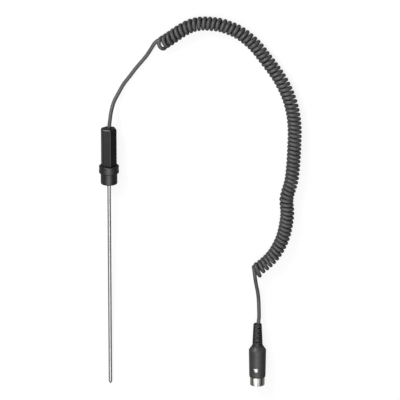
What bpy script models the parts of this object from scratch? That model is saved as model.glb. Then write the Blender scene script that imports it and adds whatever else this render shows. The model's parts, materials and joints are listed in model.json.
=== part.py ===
"""Temperature probe for a laboratory instrument, lying on a flat surface.

A thin stainless sheath sits in a round end cap under a hexagonal handle. A curly cord leads from the
handle to a round multi-pole plug with a keyed metal shroud and a slotted bend relief.

Metres, +Z up. The probe lies along Y with its tip towards -Y and rests on its collar and its tip, so
its axis slopes a little. The origin is under the middle of the probe, on the surface it lies on.
"""

import math

import bmesh
import bpy
from mathutils import Vector

MM = 0.001

# Clearance between pieces that touch on the real product
GAP = 0.3 * MM

# Facets round large and small pieces and the seal's section, and the bevel steps of a wire
LARGE_ROUND = 40
SMALL_ROUND = 24
SEAL_ROUND = 8
WIRE_ROUND = 2

# Degrees in a full turn, and degrees to a hexagon's corner
FULL_TURN = 360
HEX_TURN = FULL_TURN / 6

# Sheath and sensor
SHEATH_DIAMETER = 3.2 * MM
SHEATH_WALL = 0.5 * MM
SHEATH_REACH = 191.8 * MM
SHEATH_PROUD = 1.8 * MM
TIP_LENGTH = 2.1 * MM
TIP_FLAT_DIAMETER = 0.6 * MM
ELEMENT_DIAMETER = 1.5 * MM
ELEMENT_LENGTH = 10.0 * MM
SENSOR_WIRE_DIAMETER = 0.5 * MM
SENSOR_WIRE_SPACING = 0.9 * MM

# End cap: spigot, collar and the boss inside the handle
SPIGOT_DIAMETER = 15.0 * MM
SPIGOT_LENGTH = 10.2 * MM
SPIGOT_FILLET = 1.1 * MM
COLLAR_DIAMETER = 18.1 * MM
COLLAR_LENGTH = 7.2 * MM
COLLAR_FRONT_CHAMFER = 0.7 * MM
COLLAR_BACK_BEVEL = 0.6 * MM
COLLAR_WAIST_DEPTH = 0.2 * MM
COLLAR_BACK_DIAMETER = 18.0 * MM
COLLAR_LIP_LENGTH = 1.0 * MM
BOSS_LENGTH = 8.0 * MM
BOSS_CHAMFER = 0.4 * MM
GUIDE_LENGTH = 12.4 * MM
SEAL_SECTION = 0.7 * MM
SEAL_PLACE = 3.2 * MM
FERRULE_WALL = 0.8 * MM
FERRULE_LENGTH = 10.0 * MM
CRIMP_DEPTH = 0.25 * MM
CRIMP_LENGTH = 0.9 * MM
CRIMP_COUNT = 3

# Handle shell: a hexagonal moulding with rounded corners and a rounded cable end
HANDLE_ACROSS_FLATS = 13.0 * MM
HANDLE_LENGTH = 34.9 * MM
HANDLE_CORNER_RADIUS = 1.2 * MM
HANDLE_END_RADIUS = 1.5 * MM
HANDLE_WALL = 1.1 * MM
HANDLE_END_WALL = 2.8 * MM
HANDLE_TURN = math.radians(13.8)
CABLE_HOLE_DIAMETER = 5.0 * MM
CABLE_LIP_WALL = 1.0 * MM
CABLE_LIP_HEIGHT = 0.5 * MM
CABLE_OFFSET = 0.4 * MM
CORNER_STEPS = 4
END_STEPS = 5

# Joints inside the handle
SPLICE_WALL = 0.3 * MM
SPLICE_LENGTH = 6.0 * MM
SPLICE_PLACE = 4.0 * MM
RETAINER_WALL = 1.6 * MM
RETAINER_LENGTH = 4.5 * MM
JACKET_TAIL = 2.5 * MM

# Cord
CORD_DIAMETER = 3.4 * MM
CORE_DIAMETER = 0.6 * MM
CORE_SPREAD = 0.55 * MM
COIL_DIAMETER = 12.9 * MM
COIL_CLEARANCE = 0.02 * MM
TUBE_STEP = 7.5 * MM
COIL_STEP = 9.0 * MM
TUBE_FACETS = 2
COIL_FACETS = 4

# Plug: keyed metal shroud, insulator and pins
SHROUD_DIAMETER = 13.2 * MM
SHROUD_WALL = 0.5 * MM
SHROUD_LENGTH = 12.6 * MM
SHROUD_CHAMFER = 0.15 * MM
KEY_WIDTH = 4.6 * MM
KEY_FLOOR_WIDTH = 2.8 * MM
KEY_DEPTH = 1.2 * MM
INSULATOR_SETBACK = 7.0 * MM
INSULATOR_THICKNESS = 4.2 * MM
PIN_DIAMETER = 1.45 * MM
PIN_CIRCLE = 7.0 * MM
PIN_SETBACK = 1.2 * MM
PIN_TAIL = 3.5 * MM
PIN_ANGLES = (-90, -45, 0, 45, 90)
CORE_PINS = (0, 1, 3, 4)

# Plug: sleeve with a latch window, sheet frame and bend relief
SLEEVE_WALL = 0.95 * MM
SLEEVE_SETBACK = 7.7 * MM
SLEEVE_LENGTH = 25.8 * MM
SLEEVE_TAPER = 0.4 * MM
SLEEVE_NOSE_LENGTH = 1.8 * MM
SLEEVE_NOSE_WALL = 0.3 * MM
SHOULDER_LENGTH = 3.6 * MM
SHOULDER_WALL = 0.35 * MM
WINDOW_WIDTH = 3.6 * MM
WINDOW_LENGTH = 4.6 * MM
WINDOW_FLARE = 0.5 * MM
WINDOW_PLACE = 15.5 * MM
LATCH_MARGIN = 0.3 * MM
LATCH_SINK = 0.35 * MM
FRAME_WALL = 0.5 * MM
FRAME_LENGTH = 13.0 * MM
FRAME_TAPER = 4.0 * MM
FRAME_CRIMP = 4.5 * MM
FRAME_SPLIT = 0.6 * MM
BOOT_ROOT_DIAMETER = 9.5 * MM
BOOT_END_DIAMETER = 7.6 * MM
BOOT_LENGTH = 21.2 * MM
BOOT_END_RADIUS = 0.8 * MM
BOOT_FLANGE = 1.3 * MM
BOOT_FLANGE_RIM = 1.8 * MM
SLOT_ROWS = 8
SLOT_PITCH = 2.2 * MM
SLOT_WIDTH = 0.9 * MM
SLOT_SWEEP = math.radians(128)
SLOT_STEPS = 10

# Where the plug lies: its axis across the photograph, its front rim, and its roll
PLUG_X = 134.3 * MM
PLUG_RIM_Y = -121.6 * MM
PLUG_ROLL = math.radians(-13)

# Route of the cord from the handle to the coil, beyond the cable hole
HANDLE_LEAD_ROUTE = (
    (1.2, 128.9, 10.4),
    (2.3, 136.2, 8.3),
    (4.4, 144.7, 5.1),
    (8.9, 152.9, 2.7),
    (13.3, 160.4, 1.8),
    (18.8, 167.0, 1.7),
    (24.3, 174.4, 1.7),
    (29.8, 181.2, 1.7),
    (35.0, 188.0, 1.7),
    (38.4, 194.6, 2.0),
    (42.3, 200.8, 3.5),
)

# Centre line of the coil, on the surface
COIL_ROUTE = (
    (46.0, 196.8),
    (50.9, 200.2),
    (54.9, 202.9),
    (62.5, 208.4),
    (70.4, 213.2),
    (77.6, 215.9),
    (86.5, 217.0),
    (99.6, 215.7),
    (106.4, 213.5),
    (114.0, 210.4),
    (120.9, 206.0),
    (127.1, 200.7),
    (132.7, 194.8),
    (142.6, 181.9),
    (151.9, 168.6),
    (155.9, 161.6),
    (159.4, 154.3),
    (162.3, 146.6),
    (164.5, 138.5),
    (165.9, 130.4),
    (166.9, 119.4),
    (166.8, 103.5),
    (165.7, 83.4),
    (164.5, 73.1),
    (162.8, 65.6),
    (160.8, 59.2),
    (159.5, 53.8),
    (160.4, 47.7),
    (160.7, 40.5),
    (159.9, 32.4),
    (158.5, 24.3),
    (156.6, 17.3),
    (153.8, 10.7),
    (150.1, 3.8),
    (145.1, -2.8),
    (139.4, -8.8),
    (134.6, -12.8),
)

# Route of the cord from the coil to the plug's bend relief
PLUG_LEAD_ROUTE = (
    (130.8, -10.7, 9.5),
    (130.9, -16.8, 8.3),
    (131.6, -22.6, 6.5),
    (132.8, -29.6, 5.0),
    (134.3, -37.1, 4.3),
    (135.1, -44.6, 4.7),
    (135.3, -52.9, 6.1),
)

SHEATH_R = SHEATH_DIAMETER / 2
SHEATH_BORE_R = SHEATH_R - SHEATH_WALL
CORD_R = CORD_DIAMETER / 2

# Places along the probe, measured from the tip
CAP_FRONT = SHEATH_REACH
COLLAR_FRONT = CAP_FRONT + SPIGOT_LENGTH
COLLAR_BACK = COLLAR_FRONT + COLLAR_LENGTH
BOSS_END = COLLAR_BACK + BOSS_LENGTH
SOCKET_FLOOR = CAP_FRONT + GUIDE_LENGTH
SHEATH_END = BOSS_END + SHEATH_PROUD
SHELL_FRONT = COLLAR_BACK + GAP
SHELL_END = SHELL_FRONT + HANDLE_LENGTH
SHELL_FLOOR = SHELL_END - HANDLE_END_WALL
PROBE_END = SHELL_END + CABLE_LIP_HEIGHT
RETAINER_END = SHELL_FLOOR - GAP
JACKET_END = RETAINER_END - RETAINER_LENGTH - JACKET_TAIL
SPLICE_FRONT = SHEATH_END + SPLICE_PLACE
SPLICE_END = SPLICE_FRONT + SPLICE_LENGTH

# The probe touches the surface with the collar's front lip and the shoulder of its tip
LIP_R = COLLAR_DIAMETER / 2
LIP_PLACE = COLLAR_FRONT + COLLAR_FRONT_CHAMFER
SLOPE = math.atan((LIP_R - SHEATH_R) / (LIP_PLACE - TIP_LENGTH))
CABLE_HOLE_R = CABLE_HOLE_DIAMETER / 2
CABLE_LIP_R = CABLE_HOLE_R + CABLE_LIP_WALL
TIP_Y = -(PROBE_END * math.cos(SLOPE) + CABLE_LIP_R * math.sin(SLOPE)) / 2
TIP_Z = LIP_R * math.cos(SLOPE) - LIP_PLACE * math.sin(SLOPE)

# Places along the plug, measured from the front rim of its shroud
SHROUD_R = SHROUD_DIAMETER / 2
SLEEVE_BORE_R = SHROUD_R + GAP
SLEEVE_R = SLEEVE_BORE_R + SLEEVE_WALL
SLEEVE_BACK = SLEEVE_SETBACK + SLEEVE_LENGTH
SHOULDER_END = SLEEVE_BACK + SHOULDER_LENGTH
BOOT_END = SHOULDER_END + BOOT_LENGTH
BOOT_ROOT_R = BOOT_ROOT_DIAMETER / 2
BOOT_HOLE_R = BOOT_ROOT_R + GAP
BOOT_END_R = BOOT_END_DIAMETER / 2
BORE_END = SLEEVE_BACK - SLEEVE_WALL
FLANGE_BACK = BORE_END - GAP
FLANGE_FRONT = FLANGE_BACK - BOOT_FLANGE
FRAME_FRONT = SHROUD_LENGTH + GAP
FRAME_R = SLEEVE_BORE_R - GAP
FRAME_BACK = FRAME_FRONT + FRAME_LENGTH
CRIMP_FRONT = FRAME_BACK + FRAME_TAPER
CRIMP_END = CRIMP_FRONT + FRAME_CRIMP
CRIMP_BORE_R = CORD_R + GAP
CRIMP_R = CRIMP_BORE_R + FRAME_WALL
BOOT_BORE_R = CRIMP_R + GAP
PIN_R = PIN_DIAMETER / 2
PIN_BACK = INSULATOR_SETBACK + INSULATOR_THICKNESS + PIN_TAIL
PLUG_JACKET_END = CRIMP_FRONT + GAP
CORE_RING_R = CORE_SPREAD * math.sqrt(2)


def clear_scene():
    for obj in list(bpy.data.objects):
        bpy.data.objects.remove(obj)


def material(name, colour, roughness, metallic=0.0):
    """A Principled material. The colour is linear RGB."""
    made = bpy.data.materials.new(name)
    made.use_nodes = True
    shader = made.node_tree.nodes["Principled BSDF"]
    shader.inputs["Base Color"].default_value = (*colour, 1.0)
    shader.inputs["Roughness"].default_value = roughness
    shader.inputs["Metallic"].default_value = metallic
    made.diffuse_color = (*colour, 1.0)
    return made


def axis_empty(name, location, rotation):
    empty = bpy.data.objects.new(name, None)
    empty.empty_display_size = 10 * MM
    empty.location = location
    empty.rotation_euler = rotation
    bpy.context.collection.objects.link(empty)
    return empty


def add_object(name, data, finish, parent):
    obj = bpy.data.objects.new(name, data)
    obj.parent = parent
    if finish:
        data.materials.append(finish)
    bpy.context.collection.objects.link(obj)
    return obj


def mesh_object(name, bm, finish, parent):
    """Turns a bmesh into an object, with its normals out and its round faces shaded smooth."""
    bmesh.ops.remove_doubles(bm, verts=bm.verts, dist=1e-7)
    bmesh.ops.recalc_face_normals(bm, faces=bm.faces)
    mesh = bpy.data.meshes.new(name)
    bm.to_mesh(mesh)
    bm.free()
    mesh.shade_smooth()
    mesh.set_sharp_from_angle(angle=math.radians(35))
    return add_object(name, mesh, finish, parent)


def spin_profile(bm, profile, steps, sweep=math.tau, start=0.0):
    """Spins a profile of (radius, height) about Z. A part turn takes a closed profile and is capped."""
    verts = [bm.verts.new((r * math.cos(start), r * math.sin(start), z)) for r, z in profile]
    ring = list(zip(verts, verts[1:]))
    if profile[0][0] > 0 or profile[-1][0] > 0:
        ring.append((verts[-1], verts[0]))
    edges = [bm.edges.new(pair) for pair in ring]
    whole = sweep >= math.tau
    spun = bmesh.ops.spin(
        bm, geom=verts + edges, axis=(0, 0, 1), cent=(0, 0, 0), angle=sweep, steps=steps, use_merge=whole
    )
    if not whole:
        last = [item for item in spun["geom_last"] if isinstance(item, bmesh.types.BMVert)]
        bm.faces.new(verts)
        bm.faces.new(last)


def turned(name, profile, finish, parent, steps=LARGE_ROUND):
    bm = bmesh.new()
    spin_profile(bm, profile, steps)
    return mesh_object(name, bm, finish, parent)


def loft_rings(bm, rings, closed=False):
    """Joins rings of as many points each by quads. An open loft is capped; a closed one meets itself."""
    made = [[bm.verts.new(point) for point in ring] for ring in rings]
    pairs = list(zip(made, made[1:]))
    if closed:
        pairs.append((made[-1], made[0]))
    else:
        bm.faces.new(made[0])
        bm.faces.new(made[-1])
    for low, high in pairs:
        for i, point in enumerate(low):
            j = (i + 1) % len(low)
            bm.faces.new((point, low[j], high[j], high[i]))


def lofted(name, rings, finish, parent, closed=False):
    bm = bmesh.new()
    loft_rings(bm, rings, closed)
    return mesh_object(name, bm, finish, parent)


def arc(centre, radius, start, end, steps):
    """Points on an arc, in degrees, with both ends."""
    angles = [math.radians(start + (end - start) * i / steps) for i in range(steps + 1)]
    return [(centre[0] + radius * math.cos(a), centre[1] + radius * math.sin(a)) for a in angles]


def circle(centre, radius, count):
    """Points evenly round a circle, anticlockwise."""
    return arc(centre, radius, 0, FULL_TURN * (count - 1) / count, count - 1)


def at_height(outline, z):
    return [(x, y, z) for x, y in outline]


def inset(outline, distance):
    """A closed outline moved inwards by one distance. The outline runs anticlockwise."""
    moved = []
    count = len(outline)
    for i in range(count):
        before, here, after = (Vector(outline[(i + k) % count]) for k in (-1, 0, 1))
        first = (here - before).normalized()
        second = (after - here).normalized()
        inward = Vector((-first.y - second.y, first.x + second.x)).normalized()
        share = inward.dot(Vector((-first.y, first.x)))
        moved.append(tuple(here + inward * distance / share))
    return moved


def cut(obj, cutter, operation="DIFFERENCE"):
    """Adds an exact Boolean with a helper that isn't part of the object."""
    cutter.hide_render = True
    cutter.display_type = "WIRE"
    boolean = obj.modifiers.new(cutter.name, "BOOLEAN")
    boolean.operation = operation
    boolean.object = cutter
    boolean.solver = "EXACT"


def tube_along(name, points, diameter, facets, finish, parent=None):
    """A round tube with filled caps, straight from point to point."""
    curve = bpy.data.curves.new(name, "CURVE")
    curve.dimensions = "3D"
    curve.bevel_depth = diameter / 2
    curve.bevel_resolution = facets
    curve.use_fill_caps = True
    spline = curve.splines.new("POLY")
    spline.points.add(len(points) - 1)
    for place, point in zip(spline.points, points):
        place.co = (*point, 1.0)
    spline.use_smooth = True
    return add_object(name, curve, finish, parent)


def smooth_route(points, step):
    """Points about one step apart on a smooth curve through the route's own points."""
    route = [Vector(point) for point in points]
    route = [2 * route[0] - route[1], *route, 2 * route[-1] - route[-2]]
    dense = [route[1]]
    for p0, p1, p2, p3 in zip(route, route[1:], route[2:], route[3:]):
        for i in range(1, 17):
            t = i / 16
            bend = 2 * p0 - 5 * p1 + 4 * p2 - p3
            twist = 3 * (p1 - p2) + p3 - p0
            dense.append(p1 + 0.5 * ((p2 - p0) * t + bend * t**2 + twist * t**3))
    reach = [0.0]
    for a, b in zip(dense, dense[1:]):
        reach.append(reach[-1] + (b - a).length)
    count = max(2, round(reach[-1] / step))
    smooth = []
    k = 0
    for i in range(count + 1):
        along = reach[-1] * i / count
        while k < len(dense) - 2 and reach[k + 1] < along:
            k += 1
        share = (along - reach[k]) / (reach[k + 1] - reach[k])
        smooth.append(dense[k].lerp(dense[k + 1], share))
    return smooth


def on_probe(place, across=0.0, up=0.0):
    """The world point at a place along the probe's axis, moved across (+X) and up."""
    along = Vector((0, math.cos(SLOPE), math.sin(SLOPE)))
    above = Vector((0, -math.sin(SLOPE), math.cos(SLOPE)))
    return Vector((across, TIP_Y, TIP_Z)) + along * place + above * up


def on_plug(place, across=0.0, up=0.0):
    """The world point at a place along the plug's axis, moved across (+X) and up."""
    return Vector((PLUG_X + across, PLUG_RIM_Y + place, SLEEVE_R + up))


def make_sheath(axis, steel):
    """A drawn tube with a turned point, open at its end inside the handle."""
    profile = [
        (0, 0),
        (TIP_FLAT_DIAMETER / 2, 0),
        (SHEATH_R, TIP_LENGTH),
        (SHEATH_R, SHEATH_END),
        (SHEATH_BORE_R, SHEATH_END),
        (SHEATH_BORE_R, TIP_LENGTH),
        (0, TIP_LENGTH - SHEATH_BORE_R / 2),
    ]
    turned("probe_sheath", profile, steel, axis, SMALL_ROUND)


def make_sensor(axis, ceramic, insulation):
    """The wound element in the tip and its two leads up the sheath."""
    radius = ELEMENT_DIAMETER / 2
    front = TIP_LENGTH + GAP
    back = front + ELEMENT_LENGTH
    chamfer = radius / 4
    profile = [
        (0, front),
        (radius - chamfer, front),
        (radius, front + chamfer),
        (radius, back - chamfer),
        (radius - chamfer, back),
        (0, back),
    ]
    turned("sensing_element", profile, ceramic, axis, SMALL_ROUND)
    for number, side in ((1, -1), (2, 1)):
        near = side * SENSOR_WIRE_SPACING / 2
        out = side * splice_offset()
        points = [
            (near, 0, back + GAP),
            (near, 0, SHEATH_END),
            ((near + out) / 2, 0, SHEATH_END + SPLICE_PLACE / 2),
            (out, 0, SPLICE_FRONT),
            (out, 0, SPLICE_FRONT + SPLICE_LENGTH / 2 - GAP),
        ]
        tube_along(f"sensor_wire_{number}", points, SENSOR_WIRE_DIAMETER, WIRE_ROUND, insulation, axis)


def splice_bore():
    """A splice holds two cores side by side."""
    return 2 * CORE_DIAMETER + 3 * GAP


def splice_offset():
    return splice_bore() / 2 + SPLICE_WALL + GAP


def make_splices(axis, tin, insulation):
    """Crimp sleeves that join each sensor lead to two cores of the cord."""
    bore_r = splice_bore() / 2
    outer_r = bore_r + SPLICE_WALL
    profile = [
        (bore_r, SPLICE_FRONT),
        (outer_r, SPLICE_FRONT),
        (outer_r, SPLICE_END),
        (bore_r, SPLICE_END),
    ]
    number = 0
    for splice, side in ((1, -1), (2, 1)):
        sleeve = turned(f"splice_sleeve_{splice}", profile, tin, axis, SMALL_ROUND)
        sleeve.location.x = side * splice_offset()
        for lift in (-1, 1):
            number += 1
            inside = lift * (CORE_DIAMETER + GAP) / 2
            points = [
                (side * splice_offset(), inside, SPLICE_FRONT + SPLICE_LENGTH / 2 + GAP),
                (side * splice_offset(), inside, SPLICE_END),
                (side * CORE_SPREAD, lift * CORE_SPREAD, JACKET_END - GAP),
            ]
            tube_along(f"handle_core_{number}", points, CORE_DIAMETER, WIRE_ROUND, insulation, axis)


def make_ferrule(axis, brass):
    """The crimped sleeve that holds the sheath in the end cap."""
    bore_r = SHEATH_R + GAP
    outer_r = bore_r + FERRULE_WALL
    front = SOCKET_FLOOR + GAP
    end = front + FERRULE_LENGTH
    profile = [(bore_r, front), (outer_r, front)]
    pitch = FERRULE_LENGTH / (CRIMP_COUNT + 1)
    for i in range(CRIMP_COUNT):
        middle = front + pitch * (i + 1)
        profile += [
            (outer_r, middle - CRIMP_LENGTH),
            (outer_r - CRIMP_DEPTH, middle - CRIMP_LENGTH / 2),
            (outer_r - CRIMP_DEPTH, middle + CRIMP_LENGTH / 2),
            (outer_r, middle + CRIMP_LENGTH),
        ]
    profile += [(outer_r, end), (bore_r, end)]
    turned("sheath_ferrule", profile, brass, axis, SMALL_ROUND)


def shell_bore():
    return HANDLE_ACROSS_FLATS / 2 - HANDLE_WALL


def make_end_cap(axis, plastic):
    """Spigot, waisted collar and boss, moulded in one, with a socket for the ferrule."""
    guide_r = SHEATH_R + GAP
    socket_r = guide_r + FERRULE_WALL + GAP
    spigot_r = SPIGOT_DIAMETER / 2
    boss_r = shell_bore() - GAP
    groove_r = boss_r - GAP - SEAL_SECTION
    groove = COLLAR_BACK + SEAL_PLACE
    back_r = COLLAR_BACK_DIAMETER / 2
    back_lip = COLLAR_BACK - COLLAR_BACK_BEVEL
    waist = (LIP_PLACE + COLLAR_LIP_LENGTH + back_lip) / 2
    fillet = arc((spigot_r - SPIGOT_FILLET, CAP_FRONT + SPIGOT_FILLET), SPIGOT_FILLET, -90, 0, 5)
    profile = [
        (guide_r, CAP_FRONT),
        *fillet,
        (spigot_r, COLLAR_FRONT),
        (LIP_R - COLLAR_FRONT_CHAMFER, COLLAR_FRONT),
        (LIP_R, LIP_PLACE),
        (LIP_R, LIP_PLACE + COLLAR_LIP_LENGTH / 2),
        (LIP_R - COLLAR_WAIST_DEPTH, waist - COLLAR_LIP_LENGTH / 2),
        (LIP_R - COLLAR_WAIST_DEPTH, waist + COLLAR_LIP_LENGTH / 2),
        (back_r, back_lip - COLLAR_LIP_LENGTH / 2),
        (back_r, back_lip),
        (back_r - COLLAR_BACK_BEVEL, COLLAR_BACK),
        (boss_r, COLLAR_BACK),
        (boss_r, groove - SEAL_SECTION / 2 - GAP),
        (groove_r, groove - SEAL_SECTION / 2 - GAP),
        (groove_r, groove + SEAL_SECTION / 2 + GAP),
        (boss_r, groove + SEAL_SECTION / 2 + GAP),
        (boss_r, BOSS_END - BOSS_CHAMFER),
        (boss_r - BOSS_CHAMFER, BOSS_END),
        (socket_r, BOSS_END),
        (socket_r, SOCKET_FLOOR),
        (guide_r, SOCKET_FLOOR),
    ]
    turned("end_cap", profile, plastic, axis)


def make_seal(axis, rubber):
    """The ring seal in the groove of the boss."""
    radius = SEAL_SECTION / 2
    centre = (shell_bore() - GAP - radius, COLLAR_BACK + SEAL_PLACE)
    turned("cap_seal", circle(centre, radius, SEAL_ROUND), rubber, axis)


def rounded_hexagon(apothem, radius):
    """A hexagon with rounded corners, turned as the handle lies, anticlockwise."""
    outline = []
    reach = (apothem - radius) / math.cos(math.radians(HEX_TURN / 2))
    for corner in range(6):
        middle = HEX_TURN * corner - 90 + math.degrees(HANDLE_TURN)
        place = math.radians(middle)
        centre = (reach * math.cos(place), reach * math.sin(place))
        outline += arc(centre, radius, middle - HEX_TURN / 2, middle + HEX_TURN / 2, CORNER_STEPS)
    return outline


def make_handle(axis, plastic):
    """The hexagonal shell: rounded at the cable end, bored from the front, with a lipped cable hole."""
    apothem = HANDLE_ACROSS_FLATS / 2
    rings = [at_height(rounded_hexagon(apothem, HANDLE_CORNER_RADIUS), SHELL_FRONT)]
    for i in range(END_STEPS + 1):
        angle = math.radians(90 * i / END_STEPS)
        shrink = HANDLE_END_RADIUS * (1 - math.cos(angle))
        height = SHELL_END - HANDLE_END_RADIUS * (1 - math.sin(angle))
        outline = rounded_hexagon(apothem - shrink, HANDLE_CORNER_RADIUS)
        rings.append(at_height(outline, height))
    shell = lofted("handle_shell", rings, plastic, axis)
    seat = SHELL_END - HANDLE_END_WALL / 2
    lip = [(0, seat), (CABLE_LIP_R, seat), (CABLE_LIP_R, PROBE_END), (0, PROBE_END)]
    cut(shell, turned("cable_lip_shape", lip, None, axis, SMALL_ROUND), "UNION")
    past = HANDLE_END_WALL
    bore = [
        (0, SHELL_FRONT - past),
        (shell_bore(), SHELL_FRONT - past),
        (shell_bore(), SHELL_FLOOR),
        (CABLE_HOLE_R, SHELL_FLOOR),
        (CABLE_HOLE_R, PROBE_END + past),
        (0, PROBE_END + past),
    ]
    cut(shell, turned("handle_bore_shape", bore, None, axis))


def make_retainer(axis, brass):
    """The ring crimped on the cord's jacket, too wide for the cable hole."""
    bore_r = CORD_R + GAP
    outer_r = bore_r + RETAINER_WALL
    front = RETAINER_END - RETAINER_LENGTH
    profile = [(bore_r, front), (outer_r, front), (outer_r, RETAINER_END), (bore_r, RETAINER_END)]
    turned("cord_retainer", profile, brass, axis, SMALL_ROUND)


def make_cord(jacket):
    """The lead from the handle, the coil's outer shape, and the lead to the plug."""
    start = [on_probe(JACKET_END), on_probe(SHELL_FLOOR), on_probe(PROBE_END, CABLE_OFFSET)]
    route = [Vector(point) * MM for point in HANDLE_LEAD_ROUTE]
    points = smooth_route(start + route, TUBE_STEP)
    tube_along("cord_lead_handle", points, CORD_DIAMETER, TUBE_FACETS, jacket)

    centre_z = COIL_DIAMETER / 2 + COIL_CLEARANCE
    coil = [Vector((x * MM, y * MM, centre_z)) for x, y in COIL_ROUTE]
    points = smooth_route(coil, COIL_STEP)
    tube_along("cord_coil", points, COIL_DIAMETER, COIL_FACETS, jacket)

    slack = BOOT_BORE_R - CORD_R - GAP
    route = [Vector(point) * MM for point in PLUG_LEAD_ROUTE]
    end = [on_plug(BOOT_END, slack), on_plug(CRIMP_END), on_plug(PLUG_JACKET_END)]
    points = smooth_route(route + end, TUBE_STEP)
    tube_along("cord_lead_plug", points, CORD_DIAMETER, TUBE_FACETS, jacket)


def keyed_outline():
    """The shroud's outside: a circle with a channel pressed in at the top, anticlockwise."""
    floor = KEY_FLOOR_WIDTH / 2
    half = math.degrees(math.asin(KEY_WIDTH / 2 / SHROUD_R))
    top = -90
    round_side = arc((0, 0), SHROUD_R, top + half, top + FULL_TURN - half, LARGE_ROUND)
    return round_side + [(-floor, -(SHROUD_R - KEY_DEPTH)), (floor, -(SHROUD_R - KEY_DEPTH))]


def make_shroud(axis, nickel):
    """The drawn metal shroud, with a small lead-in at its front rim."""
    outside = keyed_outline()
    inside = inset(outside, SHROUD_WALL)
    rings = [
        at_height(inset(outside, SHROUD_CHAMFER), 0),
        at_height(outside, SHROUD_CHAMFER),
        at_height(outside, SHROUD_LENGTH),
        at_height(inside, SHROUD_LENGTH),
        at_height(inside, 0),
    ]
    lofted("plug_shroud", rings, nickel, axis, closed=True)


def pin_place(angle):
    """Pins stand on one half of their circle, the middle one opposite the key."""
    turn = math.radians(90 + angle)
    return PIN_CIRCLE / 2 * math.cos(turn), PIN_CIRCLE / 2 * math.sin(turn)


def make_pins(axis, plastic, nickel):
    """The insulator, keyed to the shroud, and its round-nosed pins."""
    outline = inset(keyed_outline(), SHROUD_WALL + GAP)
    back = INSULATOR_SETBACK + INSULATOR_THICKNESS
    rings = [at_height(outline, INSULATOR_SETBACK), at_height(outline, back)]
    insulator = lofted("pin_insulator", rings, plastic, axis)
    hole_r = PIN_R + GAP
    past = INSULATOR_THICKNESS / 2
    holes = bmesh.new()
    for angle in PIN_ANGLES:
        hole = circle(pin_place(angle), hole_r, SMALL_ROUND)
        loft_rings(holes, [at_height(hole, INSULATOR_SETBACK - past), at_height(hole, back + past)])
    cut(insulator, mesh_object("pin_hole_shapes", holes, None, axis))
    nose = [(-z, r) for z, r in arc((0, 0), PIN_R, 180, 90, 4)]
    profile = [(r, PIN_SETBACK + PIN_R - z) for z, r in nose] + [(PIN_R, PIN_BACK), (0, PIN_BACK)]
    for number, angle in enumerate(PIN_ANGLES, 1):
        pin = turned(f"contact_pin_{number}", profile, nickel, axis, SMALL_ROUND)
        pin.location.xy = pin_place(angle)


def make_sleeve(axis, plastic):
    """The plug's outer sleeve, with a flared window over the latch."""
    nose_r = SLEEVE_BORE_R + SLEEVE_NOSE_WALL
    profile = [
        (SLEEVE_BORE_R, SLEEVE_SETBACK),
        (nose_r, SLEEVE_SETBACK),
        (SLEEVE_R - SLEEVE_TAPER, SLEEVE_SETBACK + SLEEVE_NOSE_LENGTH),
        (SLEEVE_R, SLEEVE_BACK),
        (BOOT_HOLE_R + SHOULDER_WALL, SHOULDER_END),
        (BOOT_HOLE_R, SHOULDER_END),
        (BOOT_HOLE_R, SHOULDER_END - SHOULDER_LENGTH / 2),
        (SLEEVE_BORE_R, BORE_END),
    ]
    sleeve = turned("plug_sleeve", profile, plastic, axis)
    rings = []
    for reach, flare in ((SHROUD_R, 0), (SLEEVE_BORE_R + SLEEVE_WALL / 2, 0), (SLEEVE_R, WINDOW_FLARE)):
        wide = WINDOW_WIDTH / 2 + flare
        long = WINDOW_LENGTH / 2 + flare
        corners = ((-wide, -long), (wide, -long), (wide, long), (-wide, long))
        rings.append([(x, -reach, WINDOW_PLACE + z) for x, z in corners])
    rings.append([(x, y - WINDOW_FLARE, z) for x, y, z in rings[-1]])
    cut(sleeve, lofted("window_shape", rings, None, axis))


def frame_half(name, profile, start, steel, axis):
    """A pressed half: the profile swept almost half round."""
    split = math.asin(FRAME_SPLIT / 2 / CRIMP_BORE_R)
    bm = bmesh.new()
    spin_profile(bm, profile, LARGE_ROUND // 2, math.pi - 2 * split, start + split)
    return mesh_object(name, bm, steel, axis)


def make_frame(axis, steel):
    """Two sheet halves behind the shroud: one has the latch, the other grips the cord."""
    inner_r = FRAME_R - FRAME_WALL
    body = [(inner_r, FRAME_FRONT), (FRAME_R, FRAME_FRONT), (FRAME_R, FRAME_BACK)]
    upper_end = [(CRIMP_R, CRIMP_FRONT), (CRIMP_BORE_R, CRIMP_FRONT), (inner_r, FRAME_BACK)]
    lower_end = [
        (CRIMP_R, CRIMP_FRONT),
        (CRIMP_R, CRIMP_END),
        (CRIMP_BORE_R, CRIMP_END),
        (CRIMP_BORE_R, CRIMP_FRONT),
        (inner_r, FRAME_BACK),
    ]
    upper = frame_half("plug_frame_upper", body + upper_end, math.pi, steel, axis)
    frame_half("plug_frame_lower", body + lower_end, 0.0, steel, axis)
    wide = WINDOW_WIDTH / 2 - LATCH_MARGIN
    front = WINDOW_PLACE - WINDOW_LENGTH / 2 + LATCH_MARGIN
    back = WINDOW_PLACE + WINDOW_LENGTH / 2 - LATCH_MARGIN
    top = SLEEVE_R - LATCH_SINK
    root = FRAME_R - FRAME_WALL / 2
    side = [(-root, front), (-FRAME_R, front), (-top, back - FRAME_WALL), (-top, back), (-root, back)]
    rings = [[(x, y, z) for y, z in side] for x in (-wide, wide)]
    cut(upper, lofted("latch_shape", rings, None, axis), "UNION")


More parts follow.
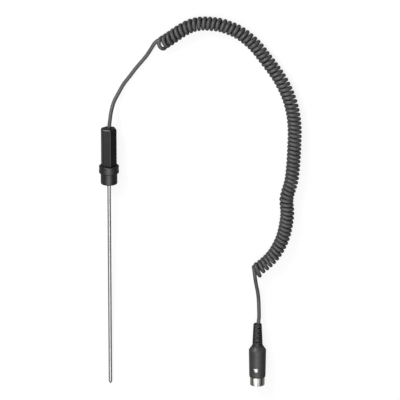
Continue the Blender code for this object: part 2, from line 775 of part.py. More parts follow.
def make_boot(axis, rubber):
    """The bend relief: a hollow taper with a flange, cut by rows of staggered slots."""
    end = arc((BOOT_END_R - BOOT_END_RADIUS, BOOT_END - BOOT_END_RADIUS), BOOT_END_RADIUS, 0, 90, 4)
    profile = [
        (BOOT_BORE_R, FLANGE_FRONT),
        (BOOT_ROOT_R + BOOT_FLANGE_RIM, FLANGE_FRONT),
        (BOOT_ROOT_R + BOOT_FLANGE_RIM, FLANGE_BACK),
        (BOOT_ROOT_R, FLANGE_BACK),
        (BOOT_ROOT_R, SHOULDER_END),
        *end,
        (BOOT_BORE_R, BOOT_END),
    ]
    boot = turned("plug_boot", profile, rubber, axis)
    slots = bmesh.new()
    inside = BOOT_BORE_R - GAP
    outside = BOOT_ROOT_R + GAP
    for row in range(SLOT_ROWS):
        low = SHOULDER_END + SLOT_PITCH * (row + 1) - SLOT_WIDTH / 2
        high = low + SLOT_WIDTH
        section = [(inside, low), (outside, low), (outside, high), (inside, high)]
        for side in (0, math.pi):
            start = side + (row % 2) * math.pi / 2 - SLOT_SWEEP / 2
            spin_profile(slots, section, SLOT_STEPS, SLOT_SWEEP, start)
    cut(boot, mesh_object("boot_slot_shapes", slots, None, axis))


def make_plug_cores(axis, insulation):
    """Cores from the cord's jacket to the pins."""
    for number, pin in enumerate(CORE_PINS, 1):
        x, y = pin_place(PIN_ANGLES[pin])
        near = math.radians(90 * number - 135)
        spread = (CORE_RING_R * math.cos(near), CORE_RING_R * math.sin(near))
        points = [
            (*spread, PLUG_JACKET_END - GAP),
            (*spread, CRIMP_FRONT - FRAME_TAPER / 2),
            (x, y, PIN_BACK + PIN_TAIL),
            (x, y, PIN_BACK + GAP),
        ]
        tube_along(f"plug_core_{number}", points, CORE_DIAMETER, WIRE_ROUND, insulation, axis)


def main():
    clear_scene()
    steel = material("stainless_steel", (0.60, 0.59, 0.57), 0.28, 1.0)
    nickel = material("nickel_plate", (0.66, 0.64, 0.61), 0.18, 1.0)
    sheet = material("sheet_steel", (0.62, 0.61, 0.59), 0.35, 1.0)
    brass = material("brass", (0.70, 0.52, 0.24), 0.35, 1.0)
    tin = material("tinned_copper", (0.70, 0.68, 0.65), 0.35, 1.0)
    handle_plastic = material("handle_plastic", (0.035, 0.035, 0.038), 0.32)
    cap_plastic = material("cap_plastic", (0.050, 0.050, 0.053), 0.48)
    sleeve_plastic = material("sleeve_plastic", (0.085, 0.083, 0.088), 0.45)
    pin_plastic = material("pin_plastic", (0.030, 0.030, 0.030), 0.40)
    boot_rubber = material("boot_rubber", (0.035, 0.035, 0.036), 0.55)
    seal_rubber = material("seal_rubber", (0.020, 0.020, 0.020), 0.60)
    jacket = material("cord_jacket", (0.090, 0.090, 0.092), 0.50)
    insulation = material("core_insulation", (0.55, 0.10, 0.06), 0.45)
    ceramic = material("ceramic", (0.78, 0.75, 0.68), 0.50)

    probe = axis_empty("probe_axis", (0, TIP_Y, TIP_Z), (SLOPE - math.pi / 2, 0, 0))
    make_sheath(probe, steel)
    make_sensor(probe, ceramic, insulation)
    make_splices(probe, tin, insulation)
    make_ferrule(probe, brass)
    make_end_cap(probe, cap_plastic)
    make_seal(probe, seal_rubber)
    make_handle(probe, handle_plastic)
    make_retainer(probe, brass)

    make_cord(jacket)

    plug = axis_empty("plug_axis", on_plug(0), (-math.pi / 2, PLUG_ROLL, 0))
    make_shroud(plug, nickel)
    make_pins(plug, pin_plastic, nickel)
    make_frame(plug, sheet)
    make_sleeve(plug, sleeve_plastic)
    make_boot(plug, boot_rubber)
    make_plug_cores(plug, insulation)


main()
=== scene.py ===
"""Looks of a laboratory temperature probe: sheath, hexagonal handle, curly cord and round plug.

Metres, +Z up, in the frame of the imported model. The probe lies along Y with its tip towards -Y.
"""

import json
import math
import random

import bmesh
import bpy
from mathutils import Matrix, Vector


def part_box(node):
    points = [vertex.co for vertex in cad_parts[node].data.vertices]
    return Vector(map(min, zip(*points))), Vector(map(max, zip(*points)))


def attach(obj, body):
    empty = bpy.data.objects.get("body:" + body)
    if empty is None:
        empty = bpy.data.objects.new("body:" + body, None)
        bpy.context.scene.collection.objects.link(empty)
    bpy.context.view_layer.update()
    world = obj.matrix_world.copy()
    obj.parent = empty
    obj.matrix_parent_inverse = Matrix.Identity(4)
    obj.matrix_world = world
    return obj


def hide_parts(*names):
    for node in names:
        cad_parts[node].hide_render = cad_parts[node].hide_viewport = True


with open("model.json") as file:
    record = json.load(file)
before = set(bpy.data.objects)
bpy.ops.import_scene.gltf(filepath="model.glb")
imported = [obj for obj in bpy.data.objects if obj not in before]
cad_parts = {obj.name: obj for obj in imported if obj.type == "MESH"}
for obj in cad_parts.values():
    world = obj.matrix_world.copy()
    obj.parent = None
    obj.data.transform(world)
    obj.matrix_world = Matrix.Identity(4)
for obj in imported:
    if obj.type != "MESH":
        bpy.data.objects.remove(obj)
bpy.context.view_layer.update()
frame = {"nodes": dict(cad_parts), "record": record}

MM = 0.001

# Clearance between pieces that touch
GAP = 0.3 * MM

# Camera: distance and tilt from straight above, the point it looks at, and its lens
CAMERA_DISTANCE = 3.8
CAMERA_TILT = math.radians(16.0)
CAMERA_TARGET = (0.08191, 0.0514, 0.0)
CAMERA_LENS = 378.3
SENSOR_WIDTH = 36.0

# Probe: places along it are measured from the tip
SHEATH_R = 1.6 * MM
SHEATH_WALL = 0.5 * MM
TIP_LENGTH = 2.1 * MM
TIP_FLAT_R = 0.3 * MM
TIP_EDGE_R = 0.1 * MM
TIP_SHOULDER_R = 2.0 * MM
SHEATH_REACH = 191.8 * MM
SHEATH_PROUD = 1.8 * MM
SPIGOT_R = 7.5 * MM
SPIGOT_LENGTH = 10.2 * MM
SPIGOT_FILLET = 1.1 * MM
SPIGOT_ROOT_R = 0.3 * MM
COLLAR_R = 9.05 * MM
COLLAR_LENGTH = 7.2 * MM
COLLAR_CHAMFER = 0.7 * MM
COLLAR_BACK_R = 9.0 * MM
COLLAR_BACK_BEVEL = 0.6 * MM
COLLAR_WAIST = 0.2 * MM
COLLAR_LIP = 1.0 * MM
COLLAR_FACE_R = 0.25 * MM
COLLAR_EDGE_R = 0.3 * MM
COLLAR_WAIST_R = 0.8 * MM
COLLAR_RIM_R = 0.2 * MM
BOSS_LENGTH = 8.0 * MM
BOSS_EDGE_R = 0.4 * MM
FERRULE_WALL = 0.8 * MM
GUIDE_LENGTH = 12.4 * MM
GUIDE_RING = 0.1 * MM
SEAL_SECTION = 0.7 * MM
SEAL_PLACE = 3.2 * MM
HANDLE_APOTHEM = 6.5 * MM
HANDLE_LENGTH = 34.9 * MM
HANDLE_CORNER_R = 1.2 * MM
HANDLE_END_R = 2.0 * MM
HANDLE_BASE_R = 0.25 * MM
HANDLE_WALL = 1.1 * MM
HANDLE_END_WALL = 2.8 * MM
HANDLE_TURN = math.radians(13.8)
HOLE_R = 2.5 * MM
LIP_WALL = 1.0 * MM
LIP_HEIGHT = 0.5 * MM
LIP_ROOT = 0.25 * MM
LIP_EDGE_R = 0.2 * MM
HOLE_SLACK = 0.4 * MM
JACKET_REACH = 7.0 * MM

CAP_FRONT = SHEATH_REACH
COLLAR_FRONT = CAP_FRONT + SPIGOT_LENGTH
COLLAR_BACK = COLLAR_FRONT + COLLAR_LENGTH
BOSS_END = COLLAR_BACK + BOSS_LENGTH
SHEATH_END = BOSS_END + SHEATH_PROUD
SHELL_FRONT = COLLAR_BACK + GAP
SHELL_END = SHELL_FRONT + HANDLE_LENGTH
SHELL_FLOOR = SHELL_END - HANDLE_END_WALL
PROBE_END = SHELL_END + LIP_HEIGHT
JACKET_END = SHELL_FLOOR - GAP - JACKET_REACH
SLOPE = math.atan((COLLAR_R - SHEATH_R) / (COLLAR_FRONT + COLLAR_CHAMFER - TIP_LENGTH))
TIP_Y = -(PROBE_END * math.cos(SLOPE) + (HOLE_R + LIP_WALL) * math.sin(SLOPE)) / 2
TIP_Z = COLLAR_R * math.cos(SLOPE) - (COLLAR_FRONT + COLLAR_CHAMFER) * math.sin(SLOPE)
PROBE = Matrix.Translation((0, TIP_Y, TIP_Z)) @ Matrix.Rotation(SLOPE - math.pi / 2, 4, "X")

# Plug: places along it are measured from the rim of its shroud
SHROUD_R = 6.6 * MM
SHROUD_WALL = 0.5 * MM
SHROUD_LENGTH = 12.6 * MM
KEY_WIDTH = 4.6 * MM
KEY_FLOOR_WIDTH = 2.8 * MM
KEY_DEPTH = 1.2 * MM
KEY_ROUND = 0.35 * MM
INSULATOR_SETBACK = 7.0 * MM
INSULATOR_THICKNESS = 4.2 * MM
INSULATOR_EDGE = 0.25 * MM
PIN_R = 0.725 * MM
PIN_CIRCLE_R = 3.5 * MM
PIN_SETBACK = 1.2 * MM
PIN_TAIL = 3.5 * MM
CUP_R = 0.45 * MM
CUP_DEPTH = 1.5 * MM
PIN_ANGLES = (-90, -45, 0, 45, 90)
SLEEVE_BORE_R = SHROUD_R + GAP
SLEEVE_WALL = 0.95 * MM
SLEEVE_R = SLEEVE_BORE_R + SLEEVE_WALL
SLEEVE_SETBACK = 7.7 * MM
SLEEVE_LENGTH = 25.8 * MM
SLEEVE_TAPER = 0.4 * MM
SLEEVE_NOSE_LENGTH = 1.8 * MM
SLEEVE_NOSE_WALL = 0.3 * MM
SLEEVE_RIM_R = 0.12 * MM
SLEEVE_BEND_R = 0.9 * MM
SHOULDER_LENGTH = 3.6 * MM
SHOULDER_WALL = 0.35 * MM
SHOULDER_RIM_R = 0.15 * MM
WINDOW_WIDTH = 3.6 * MM
WINDOW_LENGTH = 4.6 * MM
WINDOW_FLARE = 0.3 * MM
WINDOW_PLACE = 15.5 * MM
WINDOW_CORNER = 0.6 * MM
DISH_R = 3.7 * MM
DISH_DEPTH = 0.2 * MM
LATCH_MARGIN = 0.3 * MM
LATCH_SINK = 0.35 * MM
LATCH_RAMP = 0.5 * MM
LATCH_BACK_RAMP = 0.6 * MM
LATCH_ROOT_R = 0.2 * MM
LATCH_TOP_R = 0.3 * MM
LATCH_EDGE = 0.12 * MM
LATCH_EDGE_SHARE = 0.92
FRAME_WALL = 0.5 * MM
FRAME_LENGTH = 13.0 * MM
FRAME_TAPER = 4.0 * MM
FRAME_CRIMP = 4.5 * MM
FRAME_BEND_R = 1.5 * MM
CRIMP_BEND_R = 0.6 * MM
BOOT_ROOT_R = 4.75 * MM
BOOT_END_R = 3.8 * MM
BOOT_LENGTH = 21.2 * MM
BOOT_END_ROUND = 0.8 * MM
BOOT_FLANGE = 1.3 * MM
BOOT_FLANGE_RIM = 1.8 * MM
BOOT_BEVEL = 0.12 * MM
BOOT_BEVEL_ANGLE = 50
SLOT_ROWS = 8
SLOT_PITCH = 2.2 * MM
SLOT_WIDTH = 0.9 * MM
SLOT_SWEEP = 128
PLUG_ROLL = math.radians(-13)

SLEEVE_BACK = SLEEVE_SETBACK + SLEEVE_LENGTH
SHOULDER_END = SLEEVE_BACK + SHOULDER_LENGTH
BOOT_END = SHOULDER_END + BOOT_LENGTH
BORE_END = SLEEVE_BACK - SLEEVE_WALL
BOOT_HOLE_R = BOOT_ROOT_R + GAP
FLANGE_BACK = BORE_END - GAP
FLANGE_FRONT = FLANGE_BACK - BOOT_FLANGE
FRAME_FRONT = SHROUD_LENGTH + GAP
FRAME_R = SLEEVE_BORE_R - GAP
FRAME_BACK = FRAME_FRONT + FRAME_LENGTH
CRIMP_FRONT = FRAME_BACK + FRAME_TAPER
CRIMP_END = CRIMP_FRONT + FRAME_CRIMP
PIN_BACK = INSULATOR_SETBACK + INSULATOR_THICKNESS + PIN_TAIL
sleeve_low, sleeve_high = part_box("plug_sleeve")
PLUG_X = (sleeve_low.x + sleeve_high.x) / 2
PLUG_Z = (sleeve_low.z + sleeve_high.z) / 2
PLUG_RIM_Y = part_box("plug_shroud")[0].y
PLUG = Matrix.Translation((PLUG_X, PLUG_RIM_Y, PLUG_Z)) @ Matrix.Rotation(-math.pi / 2, 4, "X")

# Sides of what is spun about an axis
SHEATH_SIDES = 64
CAP_SIDES = 128
SLEEVE_SIDES = 160
DISH_SIDES = 96
HOLE_SIDES = 32
PIN_SIDES = 48

# Steps on an arc or a sweep
FRAME_STEPS = 48
CORNER_STEPS = 12
FLAT_STEPS = 12
BASE_STEPS = 4
END_STEPS = 16
SHROUD_STEPS = 96
RIM_STEPS = 8
KEY_STEPS = 5
NOSE_STEPS = 8
WINDOW_STEPS = 8
FLARE_STEPS = 6
CROWN_STEPS = 6

# How often the sum for the key channel's side is repeated, and the degrees round the boot that a cell takes
KEY_ROUNDS = 30
BOOT_CELL = 2

# Points closer than this are merged, and edges that turn by more degrees than this stay sharp
MERGE_DISTANCE = 1e-8
SHARP_ANGLE = 35
CAP_SHARP_ANGLE = 50

# Cord: one length of curly cord, straight at both ends
CORD_R = 1.7 * MM
CRIMP_R = CORD_R + GAP + FRAME_WALL
BOOT_BORE_R = CRIMP_R + GAP
TURN_R = 4.75 * MM
TURN_STEPS = 28
BEVEL_STEPS = 7
CORD_SEED = 11

# Spacing of points on the leads and on the coil's centre line, and steps between two points of a route
LEAD_STEP = 1.5 * MM
LINE_STEP = 0.5 * MM
CURVE_STEPS = 16

# How many points of the centre line, before and after, give its direction at one of them
LOOK_AHEAD = 6

# How many of the coil's points each lead takes over
TAKEN_OVER = 6

# Spacing of the turns at places along the coil's centre line
COIL_PITCHES = (
    (0.000, 0.00423),
    (0.035, 0.00413),
    (0.060, 0.00422),
    (0.150, 0.00413),
    (0.195, 0.00387),
    (0.270, 0.00379),
    (0.310, 0.00394),
    (0.330, 0.00409),
)

# How far the turns lean back, in degrees at a turn: the lead pulls the first ones over
LEANS = (
    (0, 47),
    (0.75, 47),
    (1.75, 33),
    (2.75, 22),
    (3.75, 14),
    (7, 8),
    (11, 4),
    (58, 4),
    (70, -1.5),
    (76.5, -1.5),
    (79, 4),
)

# Unevenness of the turns: in lean, in spacing, and to the side, where it lasts for some turns
LEAN_WOBBLE = 1.6
SPACING_WOBBLE = 0.12 * MM
SIDE_WOBBLE = 0.12 * MM
SIDE_WOBBLE_TURNS = 3
WOBBLE_DRAWS = 120

# Where the first turn starts and the last one ends
FIRST_ANGLE = math.radians(62)
LAST_ANGLE = math.radians(120)

# The last turn hangs out towards the plug: how far along the coil and to its side
LAST_SWING = (1.1 * MM, 1.4 * MM)

# Route of the cord from the handle to the coil
HANDLE_LEAD_ROUTE = (
    (0.0012, 0.1289, 0.0104),
    (0.0023, 0.1362, 0.0083),
    (0.0048, 0.1445, 0.0051),
    (0.0092, 0.1527, 0.0027),
    (0.0136, 0.1602, 0.0018),
    (0.0188, 0.1670, 0.0017),
    (0.0243, 0.1744, 0.0017),
    (0.0299, 0.1811, 0.0017),
    (0.0346, 0.1870, 0.0017),
    (0.0382, 0.1927, 0.0018),
    (0.0414, 0.1979, 0.0023),
    (0.0453, 0.2009, 0.0026),
)

# Centre line of the coil in plan
COIL_ROUTE = (
    (0.0460, 0.1968),
    (0.0509, 0.2002),
    (0.0549, 0.2029),
    (0.0625, 0.2084),
    (0.0704, 0.2132),
    (0.0776, 0.2159),
    (0.0865, 0.2170),
    (0.0996, 0.2157),
    (0.1064, 0.2135),
    (0.1140, 0.2104),
    (0.1209, 0.2060),
    (0.1271, 0.2007),
    (0.1327, 0.1948),
    (0.1426, 0.1819),
    (0.1519, 0.1686),
    (0.1559, 0.1616),
    (0.1594, 0.1543),
    (0.1623, 0.1466),
    (0.1645, 0.1385),
    (0.1659, 0.1304),
    (0.1669, 0.1194),
    (0.1668, 0.1035),
    (0.1657, 0.0834),
    (0.1645, 0.0731),
    (0.1628, 0.0656),
    (0.1609, 0.0595),
    (0.1598, 0.0536),
    (0.1602, 0.0477),
    (0.1607, 0.0405),
    (0.1599, 0.0324),
    (0.1585, 0.0243),
    (0.1566, 0.0173),
    (0.1538, 0.0107),
    (0.1501, 0.0038),
    (0.1451, -0.0028),
    (0.1391, -0.0084),
    (0.1340, -0.0120),
    (0.1308, -0.0145),
)

# Route of the cord from the coil to the plug's bend relief
PLUG_LEAD_ROUTE = (
    (0.1307, -0.0099, 0.0052),
    (0.1307, -0.0105, 0.0083),
    (0.1311, -0.0132, 0.0101),
    (0.1316, -0.0171, 0.0101),
    (0.1322, -0.0220, 0.0089),
    (0.1332, -0.0280, 0.0073),
    (0.1344, -0.0345, 0.0058),
    (0.1352, -0.0423, 0.0048),
    (0.1355, -0.0503, 0.0050),
    (0.1356, -0.0576, 0.0062),
)

# Floor: its own tone, and the white that the camera, glass and gloss see on top of it where it is open.
# Where things stand close, as in the gaps under the coil, occlusion paints that white down: painted shade
FLOOR_REACH = 3.0
FLOOR_DROP = 0.02 * MM
OPEN_REACH = 14 * MM
OPEN_FROM = 0.18
OPEN_TO = 0.40
OPEN_SAMPLES = 12
FLOOR_TONE = 0.20
FLOOR_WHITE = 0.84
GLOSS_SHARE = 0.05

# World: bright overhead, dim towards the horizon, a little brighter on the left, white for the camera
WORLD_ZENITH = 0.85
WORLD_HORIZON = 0.08
WORLD_HEIGHTS = (0.45, 0.85)
WORLD_LEFT = 1.2
WORLD_RIGHT = 0.6
WORLD_SIDES = (-0.8, 0.8)

# Lamps: name, place, size in metres and power in watts. Both aim at one point
SOFTBOXES = (
    ("overhead_softbox", (0.0, -0.39, 1.1), 0.85, 3.4),
    ("key_softbox", (-0.65, 1.08, 0.86), 0.5, 12.0),
)
LAMP_TARGET = (0.08, 0.05, 0.0)

# Metals: slot, name, colour, roughness, grain for each metre along each axis, its depth in mm, streak
METALS = (
    ("stainless_steel", "ground_steel", (0.57, 0.56, 0.545), 0.36, (2600, 2600, 60), 0.003, 0.06),
    ("nickel_plate", "nickel_plated", (0.72, 0.70, 0.67), 0.16, (700, 700, 260), 0.004, 0.05),
    ("sheet_steel", "pressed_sheet", (0.70, 0.69, 0.67), 0.30, (500, 2600, 500), 0.004, 0.12),
    ("brass", "turned_brass", (0.72, 0.53, 0.25), 0.32, (300, 300, 5200), 0.006, 0.12),
    ("tinned_copper", "tinned", (0.70, 0.68, 0.65), 0.36, (900, 900, 900), 0.006, 0.12),
)

# Plastics and rubbers: slot, name, colour, roughness, grain for each metre, its depth in mm, specular, wear
PLASTICS = (
    ("handle_plastic", "satin_black_plastic", (0.016, 0.016, 0.0175), 0.23, 5200, 0.004, 0.47, 0.08),
    ("cap_plastic", "matt_black_plastic", (0.020, 0.020, 0.0215), 0.33, 6500, 0.012, 0.8, 0.25),
    ("sleeve_plastic", "grained_grey_plastic", (0.046, 0.045, 0.048), 0.46, 5600, 0.015, 0.75, 0.25),
    ("pin_plastic", "insulator_plastic", (0.028, 0.028, 0.028), 0.42, 5200, 0.012, 0.5, 0.25),
    ("boot_rubber", "boot_rubber_black", (0.034, 0.034, 0.035), 0.50, 5200, 0.03, 0.5, 0.25),
    ("seal_rubber", "seal_rubber_black", (0.02, 0.02, 0.02), 0.60, 4200, 0.02, 0.35, 0.25),
    ("cord_jacket", "soft_grey_jacket", (0.083, 0.083, 0.085), 0.46, 3800, 0.02, 0.75, 0.2),
    ("core_insulation", "red_insulation", (0.50, 0.07, 0.04), 0.42, 5200, 0.01, 0.5, 0.25),
    ("ceramic", "fired_ceramic", (0.78, 0.75, 0.68), 0.55, 5200, 0.02, 0.45, 0.05),
)

# Patterns in the finishes, for each metre along each axis, and how far they lighten, darken or dull them
CLOUDS = (160, 160, 160)
CLOUD_DARK = 0.86
CLOUD_LIGHT = 1.14
SCUFFS = (900, 900, 260)
SCUFF_ROUGHNESS = 0.7
SCUFF_LIMITS = (0.62, 0.74)
SCUFF_LIGHT = 2.2
SHEEN = (420, 420, 420)
SHEEN_DOWN = 0.06
SHEEN_UP = 0.08
SMUDGES = (220, 220, 90)
SMUDGE_LOW = 0.8
SMUDGE_HIGH = 1.3
FINE_DETAIL = 4.0
LINE_ROUGHNESS = 0.6


def new_material(name, colour, roughness, metallic=0.0, specular=0.5):
    """A material with a Principled shader, with its even values on the shader's own sockets."""
    made = bpy.data.materials.new(name)
    made.use_nodes = True
    shader = made.node_tree.nodes["Principled BSDF"]
    shader.inputs["Base Color"].default_value = (*colour, 1.0)
    shader.inputs["Roughness"].default_value = roughness
    shader.inputs["Metallic"].default_value = metallic
    shader.inputs["Specular IOR Level"].default_value = specular
    return made, made.node_tree, shader


def add_node(tree, kind, **inputs):
    """Adds a node. A value that is a socket is linked, and any other value is set."""
    made = tree.nodes.new(kind)
    for name, value in inputs.items():
        socket = made.inputs[name.replace("_", " ")]
        if isinstance(value, bpy.types.NodeSocket):
            tree.links.new(value, socket)
        else:
            socket.default_value = value
    return made


def stretched(tree, scale):
    """The object's own coordinates, in metres, times a scale for each axis."""
    place = tree.nodes.new("ShaderNodeTexCoord")
    made = add_node(tree, "ShaderNodeMapping", Vector=place.outputs["Object"], Scale=scale)
    return made.outputs["Vector"]


def noise(tree, scale, detail=3.0, roughness=0.55):
    """Noise with a given number of features for each metre along each axis."""
    place = stretched(tree, scale)
    made = add_node(tree, "ShaderNodeTexNoise", Vector=place, Scale=1.0, Detail=detail, Roughness=roughness)
    return made.outputs["Fac"]


def ranged(tree, value, low, high, start=0.3, end=0.7):
    """A value spread between two limits."""
    made = add_node(tree, "ShaderNodeMapRange", Value=value)
    for name, limit in (("From Min", start), ("From Max", end), ("To Min", low), ("To Max", high)):
        made.inputs[name].default_value = limit
    return made.outputs["Result"]


def math_node(tree, operation, first, second):
    """The result of a Math node on two values, each a socket or a number."""
    made = tree.nodes.new("ShaderNodeMath")
    made.operation = operation
    for socket, value in zip(made.inputs, (first, second)):
        if isinstance(value, bpy.types.NodeSocket):
            tree.links.new(value, socket)
        else:
            socket.default_value = value
    return made.outputs[0]


def blend_colours(tree, share, first, second):
    """Two colours mixed by a share, each a socket or plain values."""
    made = tree.nodes.new("ShaderNodeMix")
    made.data_type = "RGBA"
    tree.links.new(share, made.inputs[0])
    for socket, colour in ((made.inputs[6], first), (made.inputs[7], second)):
        if isinstance(colour, bpy.types.NodeSocket):
            tree.links.new(colour, socket)
        else:
            socket.default_value = (*colour, 1.0)
    return made.outputs[2]


def add_bump(tree, shader, height, distance):
    """Gives a shader a relief of some depth, in metres."""
    made = add_node(tree, "ShaderNodeBump", Height=height, Strength=1.0, Distance=distance)
    tree.links.new(made.outputs["Normal"], shader.inputs["Normal"])


def tone(colour, share):
    """A colour made lighter or darker."""
    return tuple(min(1.0, part * share) for part in colour)


def plastic(name, colour, roughness, grain, depth, specular, worn):
    """Moulded plastic or rubber: cloudy tone, uneven gloss, fine grain and a few light scuffs."""
    made, tree, shader = new_material(name, colour, roughness, specular=specular)
    clouds = ranged(tree, noise(tree, CLOUDS), 0.0, 1.0)
    base = blend_colours(tree, clouds, tone(colour, CLOUD_DARK), tone(colour, CLOUD_LIGHT))
    marks = noise(tree, SCUFFS, FINE_DETAIL, SCUFF_ROUGHNESS)
    scuffs = ranged(tree, marks, 0.0, worn, *SCUFF_LIMITS)
    shade = blend_colours(tree, scuffs, base, tone(colour, SCUFF_LIGHT))
    tree.links.new(shade, shader.inputs["Base Color"])
    sheen = noise(tree, SHEEN, FINE_DETAIL)
    gloss = ranged(tree, sheen, roughness - SHEEN_DOWN, roughness + SHEEN_UP)
    tree.links.new(gloss, shader.inputs["Roughness"])
    add_bump(tree, shader, noise(tree, (grain, grain, grain), 2.0), depth * MM)
    return made


def metal(name, colour, roughness, grain, depth, streak):
    """Bare metal with a drawn or turned grain."""
    made, tree, shader = new_material(name, colour, roughness, metallic=1.0)
    lines = noise(tree, grain, FINE_DETAIL, LINE_ROUGHNESS)
    spread = ranged(tree, lines, 0.0, 1.0)
    shade = blend_colours(tree, spread, tone(colour, 1 - streak), tone(colour, 1 + streak))
    tree.links.new(shade, shader.inputs["Base Color"])
    smudge = ranged(tree, noise(tree, SMUDGES), roughness * SMUDGE_LOW, roughness * SMUDGE_HIGH)
    tree.links.new(smudge, shader.inputs["Roughness"])
    add_bump(tree, shader, lines, depth * MM)
    return made


def make_materials():
    """Every finish by the name of its slot in the record."""
    finishes = {slot: metal(*values) for slot, *values in METALS}
    for slot, *values in PLASTICS:
        finishes[slot] = plastic(*values)
    return finishes


def dress_nodes(finishes):
    """Gives each CAD node the finish of its slot."""
    for part in frame["record"]["subparts"]:
        data = frame["nodes"][part["node"]].data
        data.materials.clear()
        data.materials.append(finishes[part["material_slot"]])


def new_object(name, data):
    """An object in the scene."""
    made = bpy.data.objects.new(name, data)
    bpy.context.scene.collection.objects.link(made)
    return made


def add_piece(name, data, slot, finishes, place, nodes):
    """A piece that stands for CAD nodes, rides with them and takes their finish."""
    if place is PLUG:
        data.transform(Matrix.Rotation(PLUG_ROLL, 4, "Z"))
    obj = new_object(name, data)
    obj.matrix_world = place
    data.materials.append(finishes[slot])
    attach(obj, "root")
    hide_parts(*nodes)
    return obj


def shaded(mesh, sharp=SHARP_ANGLE):
    """The mesh itself, smooth but for its sharp edges."""
    mesh.shade_smooth()
    mesh.set_sharp_from_angle(angle=math.radians(sharp))
    return mesh


def mesh_of(name, bm, sharp=SHARP_ANGLE):
    """A shaded mesh with its normals out."""
    bmesh.ops.remove_doubles(bm, verts=bm.verts, dist=MERGE_DISTANCE)
    bmesh.ops.recalc_face_normals(bm, faces=bm.faces)
    mesh = bpy.data.meshes.new(name)
    bm.to_mesh(mesh)
    bm.free()
    return shaded(mesh, sharp)


def rounded(corners, steps=6, closed=False):
    """A path of corners (x, y) or (x, y, radius), with an arc at each corner that has a radius."""
    path = []
    count = len(corners)
    for i, corner in enumerate(corners):
        here = Vector(corner[:2])
        if len(corner) == 2 or (not closed and i in (0, count - 1)):
            path.append(tuple(here))
            continue
        before = (Vector(corners[i - 1][:2]) - here).normalized()
        after = (Vector(corners[(i + 1) % count][:2]) - here).normalized()
        half = before.angle(after) / 2
        centre = here + (before + after).normalized() * corner[2] / math.sin(half)
        start = here + before * corner[2] / math.tan(half) - centre
        end = here + after * corner[2] / math.tan(half) - centre
        turn = math.atan2(start.x * end.y - start.y * end.x, start.dot(end))
        for k in range(steps + 1):
            angle = turn * k / steps
            c, s = math.cos(angle), math.sin(angle)
            path.append((centre.x + start.x * c - start.y * s, centre.y + start.x * s + start.y * c))
    return path


def arc(centre, radius, start, end, steps):
    """Points on an arc, in degrees, with both ends."""
    angles = [math.radians(start + (end - start) * i / steps) for i in range(steps + 1)]
    return [(centre[0] + radius * math.cos(a), centre[1] + radius * math.sin(a)) for a in angles]


def revolved(profile, steps):
    """A closed surface spun about Z from a profile of (radius, height)."""
    bm = bmesh.new()
    verts = [bm.verts.new((r, 0, z)) for r, z in profile]
    pairs = list(zip(verts, verts[1:]))
    if profile[0][0] > 0 or profile[-1][0] > 0:
        pairs.append((verts[-1], verts[0]))
    edges = [bm.edges.new(pair) for pair in pairs]
    bmesh.ops.spin(
        bm,
        geom=verts + edges,
        axis=(0, 0, 1),
        cent=(0, 0, 0),
        angle=math.tau,
        steps=steps,
        use_merge=True,
    )
    return bm


def lofted(rings, closed=False):
    """Rings of as many points each, joined by quads. An open loft is capped."""
    bm = bmesh.new()
    made = [[bm.verts.new(point) for point in ring] for ring in rings]
    pairs = list(zip(made, made[1:]))
    if closed:
        pairs.append((made[-1], made[0]))
    else:
        bm.faces.new(made[0])
        bm.faces.new(made[-1])
    for low, high in pairs:
        for i, point in enumerate(low):
            j = (i + 1) % len(low)
            bm.faces.new((point, low[j], high[j], high[i]))
    return bm


def at_height(outline, z):
    """An outline raised to a height."""
    return [(x, y, z) for x, y in outline]


def combined(mesh, tools, operation):
    """The mesh after exact Booleans with other meshes, as a new mesh."""
    obj = new_object("work", mesh)
    helpers = []
    for tool in tools:
        helper = new_object("helper", tool)
        helpers.append(helper)
        boolean = obj.modifiers.new("shape", "BOOLEAN")
        boolean.operation = operation
        boolean.object = helper
        boolean.solver = "EXACT"
    bpy.context.view_layer.update()
    graph = bpy.context.evaluated_depsgraph_get()
    made = bpy.data.meshes.new_from_object(obj.evaluated_get(graph))
    for used in (obj, *helpers):
        bpy.data.objects.remove(used)
    return shaded(made)


def make_sheath(finishes):
    """The tube with its turned point."""
    profile = rounded(
        [
            (0, 0),
            (TIP_FLAT_R, 0, TIP_EDGE_R),
            (SHEATH_R, TIP_LENGTH, TIP_SHOULDER_R),
            (SHEATH_R, SHEATH_END),
            (SHEATH_R - SHEATH_WALL, SHEATH_END),
            (SHEATH_R - SHEATH_WALL, TIP_LENGTH),
            (0, TIP_LENGTH / 2),
        ]
    )
    mesh = mesh_of("sheath_tube", revolved(profile, SHEATH_SIDES))
    add_piece("sheath_tube", mesh, "stainless_steel", finishes, PROBE, ["probe_sheath"])


